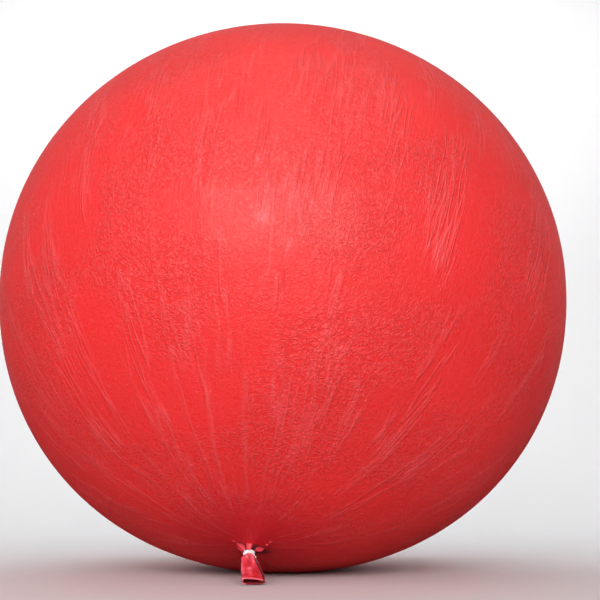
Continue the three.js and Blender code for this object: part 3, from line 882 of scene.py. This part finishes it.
keep_places(lip, "sleeve_place", np.c_[across_up / 1000, np.full(len(points), TAIL_LENGTH / 1000)])
# The upper lip is painted pale as a painted highlight, and the lower lip dark as painted shade, except the
# curl on the left
is_dark = fade(EDGE_TONE_TO_DARK * edge_tone, 0, 1) * fade(edge[:, 0], *LEFT_CURL)
keep_values(lip, "tone", UPPER_LIP_TONE + (LOWER_LIP_TONE - UPPER_LIP_TONE) * is_dark)
lip.data.materials.append(tail_latex)
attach(lip, "tail")
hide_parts("tail_lip")

# The tie: white three-strand cotton cord, wound three times round the neck and pulled in tight. Each turn
# runs level and steps over to the next at the knot, where both ends stand off a little. In millimetres.
CORD_RADIUS = 0.9
CORD_SIDES = 18
CORD_STRANDS = 3
CORD_LOBES = 0.14
CORD_LAY = 5.8
CORD_TURNS = 3
TURN_POINTS = 96
TURN_STEP = 1.75
STEP_FROM = 0.86
TIE_SLIP = -1.2
WINDING_RADIUS = 6.75
END_STAND_OFF = 0.35
END_REACH = 0.06
KNOT_AT = math.radians(132)


def neck_point(along, radius, angle):
    """A place at the neck in millimetres: along it from the tie, out from its axis, round from the right."""
    outward = RIGHT * radius * math.cos(angle) + UP_SKIN * radius * math.sin(angle)
    return TIE + (OUT * along + outward) / 1000


def make_cord(name, path, radius=CORD_RADIUS, is_loop=False):
    """Twisted cord along points: a three-lobed section swept with a twist, made a mesh and set in place."""
    bpy.ops.object.select_all(action="DESELECT")
    bpy.ops.curve.primitive_bezier_circle_add(radius=1)
    section = bpy.context.object
    section.data.splines.clear()
    outline = section.data.splines.new("POLY")
    outline.points.add(CORD_SIDES - 1)
    for i, point in enumerate(outline.points):
        turn = 2 * math.pi * i / CORD_SIDES
        lobe = CORD_LOBES * abs(math.cos(CORD_STRANDS / 2 * turn))
        reach = radius * (1 - CORD_LOBES + lobe) / 1000
        point.co = (reach * math.cos(turn), reach * math.sin(turn), 0, 1)
    outline.use_cyclic_u = True
    bpy.ops.curve.primitive_nurbs_path_add()
    cord = bpy.context.object
    cord.name = name
    cord.data.splines.clear()
    spline = cord.data.splines.new("POLY")
    spline.points.add(len(path) - 1)
    run = 0.0
    for i, place in enumerate(path):
        run += (Vector(place) - Vector(path[i - 1])).length if i else 0.0
        spline.points[i].co = (*place, 1)
        spline.points[i].tilt = 2 * math.pi * run * 1000 / CORD_LAY
    spline.use_cyclic_u = is_loop
    spline.use_smooth = True
    cord.data.dimensions = "3D"
    cord.data.bevel_mode = "OBJECT"
    cord.data.bevel_object = section
    cord.data.use_fill_caps = True
    bpy.ops.object.convert(target="MESH")
    cord = bpy.context.object
    bpy.data.objects.remove(section)
    bpy.ops.object.mode_set(mode="EDIT")
    bpy.ops.mesh.select_all(action="SELECT")
    bpy.ops.mesh.remove_doubles(threshold=TINY)
    bpy.ops.mesh.normals_make_consistent(inside=False)
    bpy.ops.object.mode_set(mode="OBJECT")
    bpy.ops.object.shade_smooth()
    return cord


winding = []
for i in range(CORD_TURNS * TURN_POINTS + 1):
    turns = i / TURN_POINTS
    whole, part = divmod(turns, 1)
    step = whole + float(fade(part, STEP_FROM, 1)) - 1
    from_end = min(turns, CORD_TURNS - turns)
    stand_off = END_STAND_OFF * math.exp(-((from_end / END_REACH) ** 2))
    angle = KNOT_AT + 2 * math.pi * turns
    winding.append(neck_point(TIE_SLIP + TURN_STEP * step, WINDING_RADIUS + stand_off, angle))
tie = make_cord("tie", winding)

# Cotton: off-white, matt, with fine fibres and a little soil. Sizes are in metres.
COTTON_DULL = (0.86, 0.86, 0.88, 1)
COTTON_CLEAN = (0.97, 0.97, 0.97, 1)
FIBRE_SIZE = 0.00035
FIBRE_DETAIL = 3.0
FIBRE_SWIRL = 0.4
SOIL_SIZE = 0.004
SOIL_DETAIL = 2.0
SOIL_EDGE = (0.35, 0.7)
COTTON_BUMP = (0.6, 0.0001)
COTTON_FINISH = {"Roughness": 0.85, "Specular IOR Level": 0.25}

cotton, cotton_tree, cotton_shader = new_paint("cotton_cord")
cord_place = node_in(cotton_tree, "TexCoord").outputs["Object"]
fibres = grain(cotton_tree, cord_place, FIBRE_SIZE, FIBRE_DETAIL, FIBRE_SWIRL)
soil = mask(cotton_tree, grain(cotton_tree, cord_place, SOIL_SIZE, SOIL_DETAIL), *SOIL_EDGE)
cleanness = maths(cotton_tree, "MULTIPLY", fibres, soil)
shade = mixed(cotton_tree, cleanness, COTTON_DULL, COTTON_CLEAN)
set_named(cotton_shader, {"Base Color": shade, **COTTON_FINISH})
add_bump(cotton_tree, cotton_shader, fibres, *COTTON_BUMP)
tie.data.materials.append(cotton)
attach(tie, "knot")
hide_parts("tie_band")

# The knot: both ends of the cord, knotted together on the left of the tie and cut short. One strand of
# the cord has come loose: it leaves the turns on the right and lies on the tail.
KNOT_SCALE = 0.37
KNOT_DEPTH = 1.2
KNOT_STAND_OFF = 7.9
KNOT_ALONG = 1.9
KNOT_POINTS = 120
STRAND_RADIUS = 0.5
END_POINTS = 24
# Each end: name, radius, then places along the neck, out from its axis, and round it in degrees
CORD_ENDS = [
    ("cut_end", CORD_RADIUS,
     [(2.2, 7.6, 130), (3.0, 8.1, 122), (3.6, 8.3, 114)]),
    ("loose_strand", STRAND_RADIUS,
     [(0.6, 6.9, 50), (1.6, 7.6, 36), (2.8, 8.8, 25), (4.2, 9.9, 17), (5.8, 11.0, 12)]),
]

outward = (RIGHT * math.cos(KNOT_AT) + UP_SKIN * math.sin(KNOT_AT)).normalized()
sideways = OUT.cross(outward)
knot_middle = neck_point(KNOT_ALONG, KNOT_STAND_OFF, KNOT_AT)
loop = []
for i in range(KNOT_POINTS):
    t = 2 * math.pi * i / KNOT_POINTS
    flat = Vector((math.sin(t) + 2 * math.sin(2 * t), math.cos(t) - 2 * math.cos(2 * t))) * KNOT_SCALE
    rise = -math.sin(3 * t) * KNOT_SCALE * KNOT_DEPTH
    loop.append(knot_middle + (OUT * flat.x + sideways * flat.y + outward * rise) / 1000)
knot = make_cord("knot", loop, is_loop=True)
pieces = [knot]
for name, radius, stops in CORD_ENDS:
    stops = np.array(stops)
    path = []
    for share in np.linspace(0, len(stops) - 1, END_POINTS):
        along, out, degrees = (float(np.interp(share, range(len(stops)), stops[:, k])) for k in range(3))
        path.append(neck_point(along, out, math.radians(degrees)))
    pieces.append(make_cord(name, path, radius))
bpy.ops.object.select_all(action="DESELECT")
for piece in pieces:
    piece.select_set(True)
bpy.context.view_layer.objects.active = knot
bpy.ops.object.join()
knot.data.materials.append(cotton)
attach(knot, "knot")
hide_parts("tie_knot")
